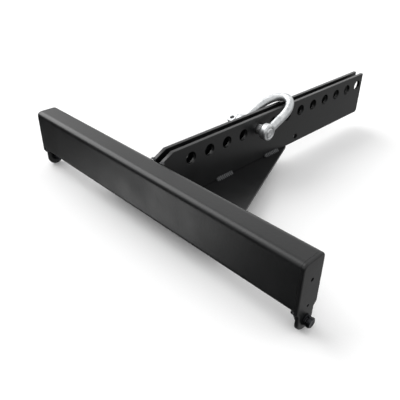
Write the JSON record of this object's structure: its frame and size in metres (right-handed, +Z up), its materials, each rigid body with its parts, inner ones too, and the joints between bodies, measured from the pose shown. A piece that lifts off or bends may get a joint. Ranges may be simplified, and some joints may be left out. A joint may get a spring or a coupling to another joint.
{
  "type": "adjustable lifting frame",
  "caption": "T-shaped steel lifting frame: a cross tube with bolted ears and a long drilled arm that carries a bow shackle.",
  "frame": {"origin": "centre of the footprint of the bounding box, at the lowest point of the two ears", "axes": "+Z up, +X along the cross tube towards its right end, +Y along the drilled arm away from the tube"},
  "size_m": [0.7536, 0.7524, 0.1704],
  "materials": {
    "black_coating": "satin",
    "coated_weld": "satin",
    "black_fastener": "satin",
    "galvanised_steel": "satin"
  },
  "bodies": {
    "lifting_frame": {"arm_plate_left": "black_coating", "arm_plate_right": "black_coating", "arm_weld_left": "coated_weld", "arm_weld_right": "coated_weld", "beam_tube": "black_coating", "ear_bolt_left": "black_fastener", "ear_bolt_right": "black_fastener", "ear_lock_nut_left": "black_fastener", "ear_lock_nut_right": "black_fastener", "ear_spring_washer_left": "black_fastener", "ear_spring_washer_right": "black_fastener", "ear_washer_left": "black_fastener", "ear_washer_right": "black_fastener", "end_plate_left": "black_coating", "end_plate_right": "black_coating", "end_weld_left": "coated_weld", "end_weld_right": "coated_weld", "gusset_plate": "black_coating", "gusset_weld_left": "coated_weld", "gusset_weld_right": "coated_weld", "stitch_weld_1_left": "coated_weld", "stitch_weld_1_right": "coated_weld", "stitch_weld_2_left": "coated_weld", "stitch_weld_2_right": "coated_weld"},
    "bow": {"shackle_bow": "galvanised_steel"},
    "pin": {"shackle_pin": "galvanised_steel"}
  },
  "joints": [
    {"name": "shackle_swing", "type": "hinge", "parent": "lifting_frame", "child": "bow", "pos_m": [0, -0.05195, 0.1196], "axis": [1, 0, 0], "range_deg": [0, 137]},
    {"name": "pin_withdrawal", "type": "slide", "parent": "bow", "child": "pin", "axis": [-1, 0, 0], "range_m": [0, 0.1]}
  ]
}
